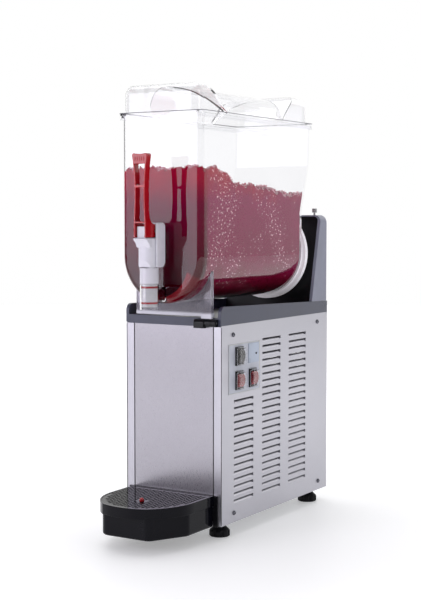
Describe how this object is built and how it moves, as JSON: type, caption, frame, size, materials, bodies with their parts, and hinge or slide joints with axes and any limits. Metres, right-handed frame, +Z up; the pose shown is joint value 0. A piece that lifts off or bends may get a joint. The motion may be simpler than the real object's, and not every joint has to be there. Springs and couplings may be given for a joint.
{
  "type": "slush machine",
  "caption": "Countertop slush machine: clear bowl with auger, lid and lever tap on a louvred steel cabinet with drip tray, switches and levelling feet.",
  "frame": {"origin": "on the floor, under the centre of the whole machine", "axes": "+Z up, front towards -Y, switches on the +X side"},
  "size_m": [0.2138, 0.578, 0.795],
  "materials": {
    "steel": "brushed",
    "galvanised": "satin",
    "zinc": "satin",
    "screw": "polished",
    "deck_grey": "satin",
    "cover_grey": "satin",
    "black_plastic": "satin",
    "drum_steel": "polished",
    "white_plastic": "gloss",
    "white_rubber": "satin",
    "black_rubber": "matt",
    "cast_case": "cast",
    "motor_enamel": "gloss",
    "clear_plastic": "clear",
    "slush": "icy",
    "tap_grey": "satin",
    "red_rubber": "satin",
    "spring_steel": "polished",
    "red_plastic": "gloss",
    "black_gloss": "gloss",
    "rocker_black": "gloss",
    "rocker_red": "gloss",
    "clear_hood": "clear",
    "plate_label": "satin",
    "blank_pale": "satin",
    "lamp": "gloss",
    "fin_aluminium": "bare",
    "fan_plastic": "satin",
    "copper": "bare",
    "foot_black": "satin"
  },
  "bodies": {
    "machine": {"base_chassis": "galvanised", "blank_cover": "blank_pale", "bowl_gasket": "white_rubber", "cable_gland": "black_plastic", "compressor": "motor_enamel", "compressor_grommets": "black_rubber", "condenser": "fin_aluminium", "control_plate": "plate_label", "copper_pipes": "copper", "drive_motor": "motor_enamel", "drum_flange": "white_plastic", "electrical_box": "cover_grey", "evaporator_drum": "drum_steel", "fan_motor": "motor_enamel", "fan_shroud": "galvanised", "filter_drier": "copper", "foot_nuts": "zinc", "front_panel": "steel", "gearbox": "cast_case", "indicator_lamp": "lamp", "latch_knuckle": "black_plastic", "latch_pin": "zinc", "panel_screws": "screw", "rear_panel": "steel", "shaft_seal": "black_rubber", "side_panel_left": "steel", "side_panel_right": "steel", "switch_hoods": "clear_hood", "switch_housings": "black_plastic", "top_deck": "deck_grey", "tower_cover": "cover_grey", "tower_front": "black_plastic", "tray_bracket": "black_plastic"},
    "bowl": {"bowl": "clear_plastic", "bowl_apron": "clear_plastic", "spout_tube": "clear_plastic", "slush_fill": "slush", "tap_housing": "tap_grey", "tap_bracket": "tap_grey", "tap_spring": "spring_steel"},
    "lid": {"lid": "clear_plastic"},
    "auger": {"auger": "white_plastic", "drive_shaft": "drum_steel"},
    "fan": {"fan_blade": "fan_plastic"},
    "piston": {"tap_piston": "white_plastic", "piston_rings": "red_rubber", "handle_pin": "zinc"},
    "handle": {"tap_handle": "red_plastic"},
    "rocker_black": {"rocker_black": "rocker_black"},
    "rocker_red_front": {"rocker_red_front": "rocker_red"},
    "rocker_red_rear": {"rocker_red_rear": "rocker_red"},
    "tray": {"drip_tray": "black_gloss"},
    "grid": {"drip_grid": "black_plastic"},
    "float": {"level_float": "red_plastic"},
    "adjuster": {"adjusting_screw": "zinc"},
    "latch": {"bowl_latch": "black_plastic"},
    "foot_front_left": {"foot_front_left": "foot_black"},
    "foot_front_right": {"foot_front_right": "foot_black"},
    "foot_rear_left": {"foot_rear_left": "foot_black"},
    "foot_rear_right": {"foot_rear_right": "foot_black"}
  },
  "joints": [
    {"name": "bowl_slide", "type": "slide", "parent": "machine", "child": "bowl", "axis": [0, -1, 0], "range_m": [0, 0.34]},
    {"name": "lid_lift", "type": "slide", "parent": "bowl", "child": "lid", "axis": [0, 0, 1], "range_m": [0, 0.09]},
    {"name": "auger_spin", "type": "hinge", "parent": "machine", "child": "auger", "pos_m": [0, 0, 0.495], "axis": [0, 1, 0], "continuous": true},
    {"name": "fan_spin", "type": "hinge", "parent": "machine", "child": "fan", "pos_m": [0, -0.014, 0.155], "axis": [0, 1, 0], "continuous": true},
    {"name": "piston_lift", "type": "slide", "parent": "bowl", "child": "piston", "axis": [0, 0, 1], "range_m": [0, 0.0206], "stiffness_N_per_m": 160, "springref_m": -0.02, "deforming": ["tap_spring"]},
    {"name": "handle_pull", "type": "hinge", "parent": "piston", "child": "handle", "pos_m": [0, -0.201, 0.541], "axis": [1, 0, 0], "range_deg": [0, 42]},
    {"name": "rocker_black_rock", "type": "hinge", "parent": "machine", "child": "rocker_black", "pos_m": [0.099, -0.0688, 0.32], "axis": [0, -1, 0], "range_deg": [0, 14]},
    {"name": "rocker_red_front_rock", "type": "hinge", "parent": "machine", "child": "rocker_red_front", "pos_m": [0.099, -0.0688, 0.277], "axis": [0, -1, 0], "range_deg": [0, 14]},
    {"name": "rocker_red_rear_rock", "type": "hinge", "parent": "machine", "child": "rocker_red_rear", "pos_m": [0.099, -0.021, 0.277], "axis": [0, -1, 0], "range_deg": [0, 14]},
    {"name": "tray_slide", "type": "slide", "parent": "machine", "child": "tray", "axis": [0, -1, 0], "range_m": [0, 0.1]},
    {"name": "grid_lift", "type": "slide", "parent": "tray", "child": "grid", "axis": [0, 0, 1], "range_m": [0, 0.05]},
    {"name": "float_rise", "type": "slide", "parent": "tray", "child": "float", "axis": [0, 0, 1], "range_m": [0, 0.008]},
    {"name": "adjuster_turn", "type": "hinge", "parent": "machine", "child": "adjuster", "pos_m": [0.08, 0.261, 0.57], "axis": [0, 0, 1], "range_deg": [-180, 180]},
    {"name": "latch_turn", "type": "hinge", "parent": "machine", "child": "latch", "pos_m": [0.06, -0.1325, 0.3815], "axis": [-1, 0, 0], "range_deg": [0, 75]},
    {"name": "foot_front_left_turn", "type": "hinge", "parent": "machine", "child": "foot_front_left", "pos_m": [-0.075, -0.092, 0.01], "axis": [0, 0, 1], "range_deg": [-180, 180]},
    {"name": "foot_front_right_turn", "type": "hinge", "parent": "machine", "child": "foot_front_right", "pos_m": [0.075, -0.092, 0.01], "axis": [0, 0, 1], "range_deg": [-180, 180]},
    {"name": "foot_rear_left_turn", "type": "hinge", "parent": "machine", "child": "foot_rear_left", "pos_m": [-0.075, 0.2445, 0.01], "axis": [0, 0, 1], "range_deg": [-180, 180]},
    {"name": "foot_rear_right_turn", "type": "hinge", "parent": "machine", "child": "foot_rear_right", "pos_m": [0.075, 0.2445, 0.01], "axis": [0, 0, 1], "range_deg": [-180, 180]}
  ],
  "couplings": [
    {"joint": "piston_lift", "follows": "handle_pull", "m_per_rad": 0.028}
  ]
}
